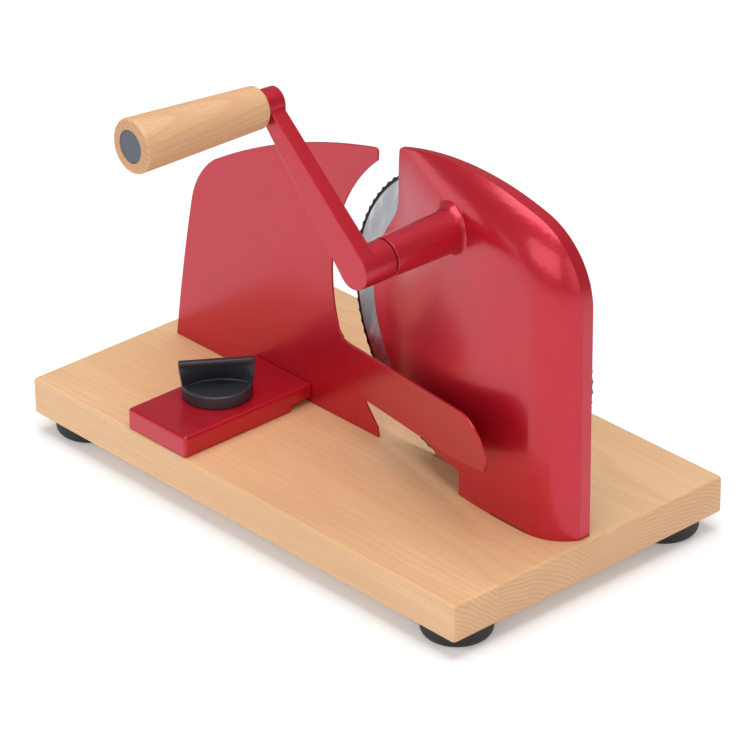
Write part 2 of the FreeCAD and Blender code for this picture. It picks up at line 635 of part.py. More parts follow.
def blade():
    """A disc whose rim is a ring of shallow hollows between pointed teeth."""
    radius = value("blade_dia / 2")
    count = int(value("blade_teeth"))
    step = 2 * math.pi / count

    def spot(distance, angle):
        return Vector(distance * math.cos(angle), distance * math.sin(angle), 0)

    hollow = radius - value("tooth_depth")
    rim = [Part.Arc(spot(radius, i * step), spot(hollow, (i + 0.5) * step),
                    spot(radius, (i + 1) * step)).toShape() for i in range(count)]
    disc = doc.addObject("Part::Feature", "blade_disc")
    solid = Part.Face(Part.Wire(rim)).extrude(Vector(0, 0, value("blade_thick")))
    solid.translate(Vector(0, 0, -value(BLADE_BACK)))
    disc.Shape = solid
    holes = spread(3, "blade_screw_pcd / 2", lambda i, x, y: barrel(
        f"blade_screw_way_{i}", "blade_screw_dia + 2 * slip", "(cut_y - over)",
        f"({BLADE_BACK} + over)", x, y))
    wheel = cut("blade", disc,
                barrel("blade_eye", "blade_hole", "(cut_y - over)", f"({BLADE_BACK} + over)"), *holes)
    finish(wheel, elevation("blade_x", BLADE_Z, MESH_ANGLE))
    screws = spread(3, "blade_screw_pcd / 2", lambda i, x, y: fuse(
        f"blade_screw_{i}",
        barrel(f"blade_shank_{i}", "blade_screw_dia", GEAR_FRONT, BLADE_BACK, x, y),
        barrel(f"blade_head_{i}", "blade_screw_head_dia", BLADE_BACK,
               f"({BLADE_BACK} + blade_screw_head)", x, y)))
    finish(fuse("blade_screws", *screws), elevation("blade_x", BLADE_Z, MESH_ANGLE))


def blade_retaining_screw():
    head_back = f"({AXLE_BACK} + retainer_head)"
    body = fuse("retainer_body",
                barrel("retainer_disc", "retainer_dia", AXLE_BACK, head_back),
                barrel("retainer_shank", "retainer_screw_dia", f"({AXLE_BACK} - retainer_bite)",
                       AXLE_BACK))
    slot = box("retainer_slot", ("-retainer_dia / 2", "retainer_dia / 2"),
               ("-retainer_slot / 2", "retainer_slot / 2"),
               (f"(-{head_back} - over)", f"(retainer_head / 2 - {head_back})"))
    finish(cut("blade_retaining_screw", body, slot), ON_BLADE)


# --- crank and handle ------------------------------------------------------------------------
ARM_BACK = "(arm_front + arm_thick)"


def crank_arm():
    beam = outline("arm_outline", [("0", "-hub_dia / 2"), ("crank_radius", "-arm_tip_width / 2"),
                                   ("crank_radius", "arm_tip_width / 2"), ("0", "hub_dia / 2")])
    at_eye = turned("crank_radius; 0; -arm_front", "0; 1; 0", "grip_splay")
    body = fuse("arm_body", slab("arm_beam", beam, f"-{ARM_BACK}", "-arm_front"),
                barrel("arm_hub", "hub_dia", "arm_front", HUB_BACK),
                rod("arm_eye", "eye_dia", "(-arm_thick - eye_proud)", "eye_proud", at=at_eye))
    at_screw = turned(f"0; 0; -{SET_SCREW_Y}", "1; 0; 0", "-90")
    screw_way = rod("arm_screw_way", "set_screw_dia + 2 * slip", "0", "hub_dia", at=at_screw)
    spindle_way = rod("arm_spindle_way", "spindle_thread + 2 * slip", "(-2 * arm_thick)",
                      "arm_thick", at=at_eye)
    finish(cut("crank_arm", body,
               barrel("arm_bore", "shaft_dia + 2 * slip", "(arm_front + hub_skin)",
                      f"({HUB_BACK} + over)"), screw_way, spindle_way), ON_ARM)
    screw_top = "(hub_dia / 2 - set_screw_sunk)"
    screw = cut("crank_set_screw",
                rod("set_screw_rod", "set_screw_dia", f"({SHAFT_FLAT} + slip)", screw_top),
                hexagon("set_screw_socket", "set_screw_dia / 2", f"({screw_top} - set_screw_socket)",
                        f"({screw_top} + over)"))
    finish(screw, f"{ON_ARM} * {at_screw}")
    ring_front = f"({HUB_BACK} + slip)"
    ring = cut("crank_washer",
               barrel("crank_washer_disc", "crank_washer_dia", ring_front,
                      f"({ring_front} + crank_washer)"),
               barrel("crank_washer_hole", "shaft_dia + 2 * running", f"({ring_front} - over)",
                      f"({ring_front} + crank_washer + over)"))
    finish(ring, ON_CRANK)


def handle():
    """Drawn on the grip's axis, z pointing out of the arm's front face."""
    seat = "(eye_proud + slip)"
    low = f"({seat} + handle_washer + slip)"
    high = "(handle_washer + grip_length)"
    cap_low = f"({high} - cap_thick)"
    head_low = f"({cap_low} - cap_to_head - spindle_head)"
    spindle = fuse("handle_spindle",
                   rod("spindle_thread_rod", "spindle_thread", "(-arm_thick)", seat),
                   rod("spindle_rod", "spindle_dia", seat, head_low),
                   rod("spindle_head_disc", "spindle_head_dia", head_low,
                       f"({head_low} + spindle_head)"))
    finish(spindle, ON_GRIP)
    washer = cut("handle_washer", rod("washer_disc", "handle_washer_dia", seat,
                                      f"({seat} + handle_washer - slip)"),
                 rod("washer_hole", "spindle_dia + 2 * running", f"({seat} - over)",
                     f"({seat} + handle_washer + over)"))
    finish(washer, ON_GRIP)
    blank = taper("grip_blank", "grip_inner_dia", "grip_outer_dia", low, high)
    eased = rounded("grip_eased", blank, "grip_round",
                    lambda edge: edge.BoundBox.ZLength < TINY and middle(edge).z > value(cap_low))
    inner_eased = rounded("grip_inner_eased", eased, "grip_inner_round",
                          lambda edge: edge.BoundBox.ZLength < TINY
                          and abs(middle(edge).z - value(low)) < TINY)
    grip = cut("handle_grip", inner_eased,
               rod("grip_bore", "spindle_dia + 2 * running", f"({low} - over)", high),
               rod("grip_head_room", "head_room_dia", f"({head_low} - side_play)", high),
               rod("grip_cap_seat", "cap_dia + 2 * slip", cap_low, f"({high} + over)"))
    finish(grip, ON_GRIP)
    cap_top = f"({high} - cap_sunk)"
    plug = rod("cap_plug", "cap_dia", f"({cap_low} + slip)", cap_top)
    finish(rounded("handle_cap", plug, "cap_round",
                   lambda edge: abs(middle(edge).z - value(cap_top)) < TINY), ON_GRIP)


# --- stop plate ------------------------------------------------------------------------------
def stop_plate():
    mouth_low_z = "(strap_root_z + mouth_rise)"
    mouth = "(mouth_x - sqrt(mouth_radius^2 - ({0} - mouth_z)^2))"
    cut_z = "(plate_tip_z - plate_tip_cut)"
    profile = outline("plate_outline", [
        ("plate_left", "0"),
        ("plate_foot_right", "0"),
        ("(plate_foot_right - plate_toe_x)", "plate_toe_z"),
        ("strap_low_x", "(strap_low_z - strap_lap)"),
        ("(strap_low_x + strap_lap)", "(strap_low_z + strap_lap)"),
        ("(strap_root_x + strap_lap)", "(strap_root_z + strap_lap / 2)"),
        (mouth.format(mouth_low_z), mouth_low_z, -1, "mouth_radius"),
        (mouth.format(cut_z), cut_z),
        ("plate_tip_x", "plate_tip_z", 1, "plate_top_radius"),
        ("plate_shoulder_x", "plate_shoulder_z", 1, "plate_shoulder_radius"),
        ("plate_flank_x", "plate_flank_z", 1, "plate_flank_radius"),
    ])
    sheet_part = rounded("plate_tip_eased",
                         slab("plate_sheet", profile, f"-{PLATE_BACK}", f"-{PLATE_FRONT}"),
                         "plate_tip_round", near("plate_tip_x", "plate_tip_z"))
    strap = outline("strap_outline", [
        ("strap_low_x", "strap_low_z"),
        ("strap_knee_x", "strap_knee_z"),
        ("strap_tip_x", "strap_tip_z"),
        ("strap_nose_x", "strap_nose_z", 1, "strap_nose_radius"),
        ("strap_top_x", "strap_top_z"),
        ("(strap_root_x + strap_throat)", "strap_root_z"),
        ("strap_root_x", "strap_root_z"),
    ])
    crease = "strap_low_x - strap_root_x; strap_low_z - strap_root_z; 0"
    band = slab("plate_strap", strap, "(-plate_thick)", "0")
    bind(band, Placement=turned(f"strap_root_x; strap_root_z; -{PLATE_FRONT}", crease,
                                "strap_bend")
         + " * " + moved("-strap_root_x", "-strap_root_z", "0"))
    ways = []
    for i, x in enumerate(PLATE_SCREW_X):
        ways.append(barrel(f"plate_screw_way_{i}", "plate_screw_dia + 2 * slip",
                           f"({PLATE_FRONT} - over)", f"({PLATE_BACK} + over)", x, PLATE_SCREW_Z))
        ways.append(taper(f"plate_screw_sink_{i}", "plate_screw_head_dia + 2 * slip",
                          "plate_screw_dia + 2 * slip", f"-{PLATE_BACK}",
                          f"(slip - {PLATE_FRONT})", x, PLATE_SCREW_Z))
    finish(cut("stop_plate", fuse("plate_body", sheet_part, band), *ways),
           elevation("0", "slide_gap"))


PLATE_SCREW_X = [f"((block_left + block_right) / 2 {sign} plate_screw_spacing / 2)"
                 for sign in "-+"]
PLATE_SCREW_Z = "((bridge_rise + block_height) / 2)"


def plate_screws():
    screws = []
    for i, x in enumerate(PLATE_SCREW_X):
        screws.append(barrel(f"plate_shank_{i}", "plate_screw_dia",
                             f"({PLATE_FRONT} - plate_screw_length)", PLATE_BACK, x,
                             PLATE_SCREW_Z))
        screws.append(taper(f"plate_head_{i}", "plate_screw_head_dia", "plate_screw_dia",
                            f"-{PLATE_BACK}", f"(-{PLATE_FRONT})", x, PLATE_SCREW_Z))
    finish(fuse("plate_screws", *screws), elevation("0", "slide_gap"))


# --- slide block and clamp -------------------------------------------------------------------
def slide_block():
    bridge_front = f"({PLATE_FRONT} - bridge_depth)"
    blank = box("block_blank", ("block_left", "block_right"), ("block_front", PLATE_FRONT),
                ("slide_gap", "(slide_gap + block_height)"))
    top = value("slide_gap + block_height")
    front = value("block_front")
    back = value(PLATE_FRONT)

    def outside(edge):
        centre = middle(edge)
        on_top = abs(centre.z - top) < TINY and centre.y < back - TINY
        return on_top or is_upright(edge) and abs(centre.y - front) < TINY
    eased = rounded("block_eased", blank, "block_round", outside)
    notch = box("bridge_notch", ("(block_right - bridge_inset)", "(block_right + over)"),
                (bridge_front, f"({PLATE_FRONT} + over)"),
                ("(slide_gap - over)", "(slide_gap + bridge_rise)"))
    tools = [notch, rod("block_bolt_way", "bolt_hole", "-over", "(block_height + 2 * over)", "knob_x",
                        "knob_y")]
    for i, y in enumerate(KEY_SCREW_Y):
        tools.append(rod(f"block_key_hole_{i}", "key_screw_dia + 2 * slip", "-over",
                         "(slide_gap + key_screw_bite + over)", "knob_x", y))
    for i, x in enumerate(PLATE_SCREW_X):
        hole = rod(f"block_plate_hole_{i}", "plate_screw_dia + 2 * slip", "0",
                   "(plate_screw_length + 2 * over)")
        bind(hole, Placement=turned(f"{x}; {PLATE_FRONT} + 1; slide_gap + {PLATE_SCREW_Z}",
                                    "1; 0; 0", "90"))
        tools.append(hole)
    finish(cut("slide_block", eased, *tools), BENCH)


KEY_SCREW_Y = [f"(knob_y {sign} key_screw_spacing / 2)" for sign in "-+"]


def guide_key():
    low = "(slide_gap - key_height)"
    seat = f"({low} + key_screw_head)"
    half_x = "key_width / 2"
    half_y = "key_length / 2"
    bar = box("key_bar", (f"(knob_x - {half_x})", f"(knob_x + {half_x})"),
              (f"(knob_y - {half_y})", f"(knob_y + {half_y})"), (low, "slide_gap"))
    tools = [rod("key_bolt_way", "bolt_hole", f"({low} - over)", "over", "knob_x", "knob_y")]
    screws = []
    for i, y in enumerate(KEY_SCREW_Y):
        tools.append(rod(f"key_way_{i}", "key_screw_dia + 2 * slip", f"({low} - over)", "over",
                         "knob_x", y))
        tools.append(rod(f"key_sink_{i}", "key_screw_head_dia + 2 * head_side", f"({low} - over)", seat,
                         "knob_x", y))
        screws.append(rod(f"key_shank_{i}", "key_screw_dia", seat,
                          "(slide_gap + key_screw_bite)", "knob_x", y))
        screws.append(rod(f"key_head_{i}", "key_screw_head_dia", low, seat, "knob_x", y))
    finish(cut("guide_key", bar, *tools), BENCH)
    finish(fuse("key_screws", *screws), BENCH)


BLOCK_TOP = "(slide_gap + block_height)"
KNOB_LOW = f"({BLOCK_TOP} + knob_lift)"
INSERT_LOW = f"({BLOCK_TOP} + knob_washer + knob_lift)"
INSERT_TOP = f"({INSERT_LOW} + insert_height)"


def clamp():
    half_x = "clamp_plate_width / 2"
    half_y = "clamp_plate_length / 2"
    plate = cut("clamp_plate",
                box("clamp_blank", (f"-{half_x}", half_x), (f"-{half_y}", half_y),
                    (CLAMP_LOW, CLAMP_TOP)),
                rod("clamp_hole", "bolt_dia + 2 * slip", f"({CLAMP_LOW} - over)",
                    f"({CLAMP_TOP} + over)"))
    finish(plate, AT_KNOB)
    bolt = fuse("clamp_bolt",
                rod("bolt_head_disc", "bolt_head_dia", f"({CLAMP_LOW} - bolt_head)", CLAMP_LOW),
                rod("bolt_shank", "bolt_dia", CLAMP_LOW, f"({INSERT_TOP} - side_play)"))
    finish(bolt, AT_KNOB)
    ring = cut("knob_washer",
               rod("knob_washer_disc", "knob_washer_dia", BLOCK_TOP,
                   f"({BLOCK_TOP} + knob_washer)"),
               rod("knob_washer_hole", "bolt_hole", f"({BLOCK_TOP} - over)",
                   f"({BLOCK_TOP} + knob_washer + over)"))
    finish(ring, AT_KNOB)
    insert = cut("knob_insert", rod("insert_body", "insert_dia", INSERT_LOW, INSERT_TOP),
                 rod("insert_bore", "bolt_dia + 2 * running", f"({INSERT_LOW} - over)",
                     f"({INSERT_TOP} + over)"))
    finish(insert, AT_KNOB)


def clamp_knob():
    """A shallow dish with a wing across it; the wing runs along x and flares towards its top."""
    disc = rod("knob_disc", "knob_dia", KNOB_LOW, "knob_top")
    low = value(KNOB_LOW)
    eased = rounded("knob_eased", disc, "knob_round", lambda edge:
                    edge.BoundBox.ZLength < TINY and middle(edge).z > low + TINY)
    floor = "(knob_top - knob_floor_drop)"
    dish = cut("knob_dish", eased,
               rod("knob_floor", "knob_dia - 2 * knob_rim", floor, "(knob_top + over)"))
    waist_radius = ("((knob_dia / 2)^2 + ((wing_thick - wing_waist) / 2)^2)"
                    " / (wing_thick - wing_waist)")
    flare = taper("wing_flare", "wing_low_length", "wing_top_length", floor, "wing_top")
    bar = box("wing_bar", ("-wing_top_length", "wing_top_length"),
              ("-wing_thick / 2", "wing_thick / 2"), (f"({floor} - wing_root)", "wing_top"))
    scoops = [rod(f"wing_scoop_{i}", f"2 * {waist_radius}", f"({floor} - over)",
                  "(wing_top + over)", "0", f"{sign}({waist_radius} + wing_waist / 2)")
              for i, sign in enumerate(("", "-"))]
    wing = cut("knob_wing", common("wing_blank", flare, bar), *scoops)
    knob = cut("clamp_knob", fuse("knob_body", dish, wing),
               rod("knob_washer_room", "knob_washer_dia + 2 * knob_washer_side",
                   f"({KNOB_LOW} - over)", INSERT_LOW),
               rod("knob_insert_seat", "insert_dia + 2 * slip", f"({INSERT_LOW} - over)",
                   f"({INSERT_TOP} + slip)"))
    finish(knob, f"{AT_KNOB} * {turned('0; 0; 0', '0; 0; 1', 'knob_angle')}")


def check(things):
    """Stop if an object failed, or if a sub-part has no sound solid."""
    for thing in doc.Objects:
        if {"Invalid", "Error"} & set(thing.State):
            raise RuntimeError(f"{thing.Name} failed: {thing.State}")
    for thing in things:
        shape = thing.Shape
        if shape.isNull() or not shape.isValid() or not shape.Solids:
            raise RuntimeError(f"{thing.Name} has no sound solid")


def main():
    for build in (base_board, feet, blade_housing, housing_screws, crank_bearings, drive_pinion,
                  blade_drive, blade, blade_retaining_screw, crank_arm, handle, stop_plate,
                  plate_screws, slide_block, guide_key, clamp, clamp_knob):
        build()
    doc.recompute()
    check(finished)
    os.makedirs("parts", exist_ok=True)
    for thing in finished:
        thing.Shape.exportStep(f"parts/{thing.Label}.step")
        print(thing.Label, len(thing.Shape.Solids), "solid(s)", round(thing.Shape.Volume, 1))


main()
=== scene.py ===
import json
import math

import bmesh
import bpy
from mathutils import Matrix, Vector

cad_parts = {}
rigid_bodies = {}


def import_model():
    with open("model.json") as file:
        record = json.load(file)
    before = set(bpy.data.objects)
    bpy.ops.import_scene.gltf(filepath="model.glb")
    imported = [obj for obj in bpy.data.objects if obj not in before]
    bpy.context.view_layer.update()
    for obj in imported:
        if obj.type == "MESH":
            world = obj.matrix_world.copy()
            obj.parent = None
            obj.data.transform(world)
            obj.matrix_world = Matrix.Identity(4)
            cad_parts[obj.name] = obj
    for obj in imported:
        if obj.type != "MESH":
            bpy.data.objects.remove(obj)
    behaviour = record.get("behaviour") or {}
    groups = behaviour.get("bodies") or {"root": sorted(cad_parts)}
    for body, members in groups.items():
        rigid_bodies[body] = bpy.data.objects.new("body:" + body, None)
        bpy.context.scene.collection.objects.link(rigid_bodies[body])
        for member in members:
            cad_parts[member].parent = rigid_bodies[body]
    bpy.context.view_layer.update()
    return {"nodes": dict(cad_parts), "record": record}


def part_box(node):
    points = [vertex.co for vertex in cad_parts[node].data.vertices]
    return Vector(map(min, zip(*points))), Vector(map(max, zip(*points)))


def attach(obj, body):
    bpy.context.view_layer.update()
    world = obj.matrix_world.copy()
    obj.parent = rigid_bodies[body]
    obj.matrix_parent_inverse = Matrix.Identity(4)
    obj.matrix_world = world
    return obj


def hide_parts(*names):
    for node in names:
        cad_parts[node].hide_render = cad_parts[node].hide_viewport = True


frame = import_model()
# Blender's own startup objects
for spare in [thing for thing in bpy.data.objects if thing.name in ("Cube", "Light", "Camera")]:
    bpy.data.objects.remove(spare)

MM = 0.001

# The bench frame: millimetres along X from the board's left end, along Y from its front edge,
# and up Z from its top face.
board_low, board_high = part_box("base_board")
BENCH = Matrix.Translation((board_low.x, board_low.y, board_high.z)) @ Matrix.Scale(MM, 4)
TO_BENCH = BENCH.inverted()


def bench(x, y, z):
    """A place of the bench frame, in the model's metres."""
    return BENCH @ Vector((x, y, z))


def bench_box(node):
    """The low and the high corner of a CAD node's box, in the bench frame."""
    return [TO_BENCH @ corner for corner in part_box(node)]


# --- camera ------------------------------------------------------------------------------------
IMAGE = 736                     # the photograph's width and height, in pixels
SENSOR = 36                     # the camera's sensor, in millimetres
FOCAL_PIXELS = 4442.45
AZIMUTH, ELEVATION, ROLL = 47.74, 28.08, -0.59
DISTANCE = 2537.3               # from the target, in millimetres
TARGET = (180, 110, 50)         # in the bench frame
SIDEWAYS, UPWARDS = -4.93, -12.80       # of the camera, square to its view, in millimetres
CLIP_END = 20                   # metres


def make_camera():
    """The photograph's camera, solved from the board's edges."""
    around, above, roll = (math.radians(a) for a in (AZIMUTH, ELEVATION, ROLL))
    back = Vector((math.sin(around) * math.cos(above), -math.cos(around) * math.cos(above),
                   math.sin(above)))
    right = Vector((0, 0, 1)).cross(back).normalized()
    up = back.cross(right)
    right, up = (right * math.cos(roll) + up * math.sin(roll),
                 up * math.cos(roll) - right * math.sin(roll))
    place = bench(*TARGET) + (back * DISTANCE + right * SIDEWAYS + up * UPWARDS) * MM
    data = bpy.data.cameras.new("camera")
    data.sensor_width = SENSOR
    data.lens = FOCAL_PIXELS / IMAGE * SENSOR
    data.clip_end = CLIP_END
    camera = bpy.data.objects.new("camera", data)
    turned = Matrix((right, up, back)).transposed().to_4x4()
    camera.matrix_world = Matrix.Translation(place) @ turned
    bpy.context.scene.collection.objects.link(camera)
    bpy.context.scene.camera = camera


# --- floor and light ---------------------------------------------------------------------------
WHITE = (1, 1, 1, 1)
WORLD_LEVEL = 0.25              # how strongly the white surroundings light the object
BACKGROUND_LEVEL = 1            # and how bright they are as the background
FLOOR_HALF = 4                  # half the floor's side, in metres
FLOOR_COLOUR = (0.93, 0.93, 0.93, 1)
FLOOR_GLOW = 0.20               # what the floor adds for the rays that see it as background
LAMP_TARGET = (0, 0, 0.1)       # what every lamp faces, in metres
# each lamp's place, its width and height in metres, and its radiance
SOFTBOXES = (
    ("overhead", (0.0, 0.05, 1.75), (1.7, 1.3), 3.3),
    ("key", (0.7, -2.1, 1.45), (2.2, 1.4), 2.1),
    ("left", (-1.7, -1.5, 0.40), (2.2, 0.7), 1.3),
    ("right", (2.0, -0.3, 1.0), (1.6, 1.4), 1.0),
    ("back", (-0.6, 2.2, 1.0), (2.0, 1.2), 0.6),
)


def softbox(name, place, size, radiance):
    data = bpy.data.lights.new(name, "AREA")
    data.shape = "RECTANGLE"
    data.size, data.size_y = size
    data.energy = radiance * math.pi * size[0] * size[1]
    light = bpy.data.objects.new(name, data)
    light.visible_camera = False
    forward = (Vector(LAMP_TARGET) - Vector(place)).normalized()
    turned = forward.to_track_quat("-Z", "Y").to_matrix().to_4x4()
    light.matrix_world = Matrix.Translation(place) @ turned
    bpy.context.scene.collection.objects.link(light)


def shows_as_background(finish):
    """1 for the rays that see the background: camera, glossy and transmission rays."""
    path = finish.add("ShaderNodeLightPath")
    seen = finish.calc("MAXIMUM", path.outputs["Is Camera Ray"], path.outputs["Is Glossy Ray"])
    return finish.calc("MAXIMUM", seen, path.outputs["Is Transmission Ray"])


def make_surroundings():
    """A white world that lights weakly, and is white to the rays that see it as background."""
    world = bpy.data.worlds.new("world")
    bpy.context.scene.world = world
    world.use_nodes = True
    tree = world.node_tree
    tree.nodes.clear()
    path = tree.nodes.new("ShaderNodeLightPath")
    seen = tree.nodes.new("ShaderNodeMath")
    seen.operation = "MAXIMUM"
    tree.links.new(path.outputs["Is Camera Ray"], seen.inputs[0])
    tree.links.new(path.outputs["Is Transmission Ray"], seen.inputs[1])
    strength = tree.nodes.new("ShaderNodeMapRange")
    tree.links.new(seen.outputs[0], strength.inputs["Value"])
    strength.inputs["To Min"].default_value = WORLD_LEVEL
    strength.inputs["To Max"].default_value = BACKGROUND_LEVEL
    white = tree.nodes.new("ShaderNodeBackground")
    white.inputs["Color"].default_value = WHITE
    tree.links.new(strength.outputs[0], white.inputs["Strength"])
    out = tree.nodes.new("ShaderNodeOutputWorld")
    tree.links.new(white.outputs[0], out.inputs["Surface"])


def make_floor():
    bm = bmesh.new()
    bmesh.ops.create_grid(bm, x_segments=1, y_segments=1, size=FLOOR_HALF)
    mesh = bpy.data.meshes.new("floor")
    bm.to_mesh(mesh)
    bm.free()
    floor = bpy.data.objects.new("floor", mesh)
    bpy.context.scene.collection.objects.link(floor)
    finish = Finish("floor", Base_Color=FLOOR_COLOUR, Roughness=0.9, Specular_IOR_Level=0.0)
    glow = finish.calc("MULTIPLY", shows_as_background(finish), FLOOR_GLOW)
    finish.set(Emission_Color=WHITE, Emission_Strength=glow)
    mesh.materials.append(finish.material)


def make_stage():
    make_surroundings()
    make_floor()
    for lamp in SOFTBOXES:
        softbox(*lamp)


# --- node materials ----------------------------------------------------------------------------
def linear(red, green, blue):
    """A colour given as it looks on a screen, 0 to 255, in the shader's linear numbers."""
    def one(c):
        c /= 255
        return c / 12.92 if c <= 0.04045 else ((c + 0.055) / 1.055) ** 2.4
    return one(red), one(green), one(blue), 1


class Finish:
    """A material's node tree, with a short call for each node that is used here."""

    def __init__(self, name, **sockets):
        self.material = bpy.data.materials.new(name)
        self.material.use_nodes = True
        self.tree = self.material.node_tree
        self.tree.nodes.clear()
        self.shader = self.add("ShaderNodeBsdfPrincipled")
        out = self.add("ShaderNodeOutputMaterial")
        self.tree.links.new(self.shader.outputs[0], out.inputs["Surface"])
        self.set(**sockets)

    def add(self, kind, **settings):
        node = self.tree.nodes.new(kind)
        for key, setting in settings.items():
            setattr(node, key, setting)
        return node

    def put(self, socket, thing):
        """Link a socket to another node's output, or set it to a number or a colour."""
        if isinstance(thing, bpy.types.NodeSocket):
            self.tree.links.new(thing, socket)
        else:
            socket.default_value = thing

    def set(self, **sockets):
        """Set or link the shader's inputs, named with underscores for spaces."""
        for name, thing in sockets.items():
            self.put(self.shader.inputs[name.replace("_", " ")], thing)

    def place(self, scale=(1, 1, 1), turn=(0, 0, 0), shift=(0, 0, 0)):
        """Object coordinates in metres, seen from a place shifted and turned, then scaled."""
        where = self.add("ShaderNodeTexCoord").outputs["Object"]
        turned = self.add("ShaderNodeMapping", vector_type="TEXTURE")
        self.put(turned.inputs["Vector"], where)
        turned.inputs["Location"].default_value = shift
        turned.inputs["Rotation"].default_value = turn
        scaled = self.add("ShaderNodeVectorMath", operation="MULTIPLY")
        self.put(scaled.inputs[0], turned.outputs[0])
        scaled.inputs[1].default_value = scale
        return scaled.outputs[0]

    def split(self, vector):
        """The three numbers of a place, a direction or a colour."""
        return self.add_linked("ShaderNodeSeparateXYZ", vector).outputs

    def add_linked(self, kind, first, **settings):
        node = self.add(kind, **settings)
        self.put(node.inputs[0], first)
        return node

    def noise(self, vector, scale=1.0, detail=2.0, roughness=0.5):
        node = self.add_linked("ShaderNodeTexNoise", vector)
        for key, number in (("Scale", scale), ("Detail", detail), ("Roughness", roughness)):
            node.inputs[key].default_value = number
        return node.outputs["Fac"]

    def cells(self, vector):
        """The distance from the nearest of scattered points, and that point's own colour."""
        node = self.add_linked("ShaderNodeTexVoronoi", vector)
        node.inputs["Scale"].default_value = 1
        return node.outputs["Distance"], node.outputs["Color"]

    def ramp(self, fac, *stops):
        """Turn a number into greys, given as stops of (position, grey)."""
        node = self.add_linked("ShaderNodeValToRGB", fac)
        ramp = node.color_ramp
        while len(ramp.elements) < len(stops):
            ramp.elements.new(1)
        for element, (position, grey) in zip(ramp.elements, stops):
            element.position = position
            element.color = (grey, grey, grey, 1)
        return node.outputs["Color"]

    def calc(self, operation, a, b=0.0, c=0.0):
        """The outcome of one of the Math node's operations."""
        node = self.add("ShaderNodeMath", operation=operation)
        for socket, thing in zip(node.inputs, (a, b, c)):
            self.put(socket, thing)
        return node.outputs[0]

    def length(self, a, b):
        """How long a line is that goes a along one axis and b along another."""
        return self.calc("SQRT", self.calc("MULTIPLY_ADD", a, a, self.calc("MULTIPLY", b, b)))

    def mix(self, fac, a, b):
        node = self.add("ShaderNodeMix", data_type="RGBA")
        self.put(node.inputs[0], fac)       # of the node's sockets, 6 and 7 are the colours
        self.put(node.inputs[6], a)
        self.put(node.inputs[7], b)
        return node.outputs[2]

    def bump(self, height, distance, strength):
        node = self.add("ShaderNodeBump")
        self.put(node.inputs["Height"], height)
        node.inputs["Distance"].default_value = distance
        node.inputs["Strength"].default_value = strength
        self.set(Normal=node.outputs[0])


def shade(colour, share):
    """A colour with each of its channels at a share of what it was."""
    return tuple(channel * share for channel in colour[:3]) + (1,)


def paint(name, colour):
    """Metallic lacquer under a clear coat, with a faint orange peel and an uneven colour."""
    finish = Finish(name, Metallic=0.42, Roughness=0.34, Coat_Weight=0.5, Coat_Roughness=0.18,
                    Specular_Tint=(0.75, 0.78, 1.0, 1))
    cloud = finish.noise(finish.place(), scale=30, detail=3)
    finish.set(Base_Color=finish.mix(cloud, colour, shade(colour, 0.9)))
    finish.bump(finish.noise(finish.place(), scale=700), distance=0.00002, strength=0.5)
    return finish


SCRATCHES = (900, 900, 900)     # in a metre
SCRATCH_SPREAD = 0.2            # how much rougher a scratch is than the smoothest place


def metal(name, colour, roughness):
    """Bright metal with fine scratches."""
    finish = Finish(name, Metallic=1.0)
    scratch = finish.noise(finish.place(SCRATCHES), detail=4, roughness=0.6)
    rough = finish.calc("MULTIPLY_ADD", scratch, SCRATCH_SPREAD, roughness - SCRATCH_SPREAD / 2)
    finish.set(Base_Color=finish.mix(scratch, colour, shade(colour, 0.8)), Roughness=rough)
    finish.bump(scratch, distance=0.00002, strength=0.4)
    return finish


BLADE_LOW, BLADE_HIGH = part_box("blade")
BLADE_CENTRE = (BLADE_LOW + BLADE_HIGH) / 2
BLADE_RADIUS = (BLADE_HIGH.z - BLADE_LOW.z) / 2
GRIND = 0.0026                  # how wide the blade's ground edge is
# painted shade: the ground edge is coloured almost black for the shade of its bevel
GRIND_PAINTED_SHADE = (0.025, 0.028, 0.032, 1)
BLADE_RINGS = 2600              # in a metre
RING_PALE, RING_DARK = (0.46, 0.48, 0.51, 1), (0.34, 0.355, 0.38, 1)
# pale and dark streaks painted into the blade's colour: painted sheen that stands in for its
# reflections
SHEEN_STREAKS = (150, 150, 28)        # in a metre
SHEEN_STREAK_TURN = (0, math.radians(20), 0)
PAINTED_SHEEN_PALE, PAINTED_SHEEN_DARK = (0.62, 0.65, 0.69, 1), (0.26, 0.28, 0.30, 1)


def blade_steel():
    """Stainless steel with the fine rings of its grinding, painted sheen over them as pale and
    dark streaks, and painted shade on the ground edge, which is almost black."""
    finish = Finish("blade_steel", Metallic=1.0, Anisotropic=0.7)
    x, _, z = finish.split(finish.place(shift=BLADE_CENTRE))
    radius = finish.length(x, z)
    rings = finish.add("ShaderNodeCombineXYZ")
    finish.put(rings.inputs[0], finish.calc("MULTIPLY", radius, BLADE_RINGS))
    line = finish.noise(rings.outputs[0], detail=3, roughness=0.6)
    painted_sheen = finish.noise(finish.place(SHEEN_STREAKS, SHEEN_STREAK_TURN), detail=3, roughness=0.6)
    body = finish.mix(line, RING_PALE, RING_DARK)
    # painted sheen: dark, then pale streaks laid over the grinding rings
    body = finish.mix(finish.ramp(painted_sheen, (0.3, 0.5), (0.5, 0.0)), body, PAINTED_SHEEN_DARK)
    body = finish.mix(finish.ramp(painted_sheen, (0.5, 0.0), (0.65, 0.8)), body, PAINTED_SHEEN_PALE)
    # painted shade: almost black on the ground edge, where the bevel turns away from the light
    edge = finish.calc("GREATER_THAN", radius, BLADE_RADIUS - GRIND)
    around = finish.add("ShaderNodeTangent", direction_type="RADIAL", axis="Y")
    finish.set(Base_Color=finish.mix(edge, body, GRIND_PAINTED_SHADE), Tangent=around.outputs[0],
               Roughness=finish.calc("MULTIPLY_ADD", line, 0.15, 0.24))
    finish.bump(line, distance=0.00001, strength=0.4)
    return finish


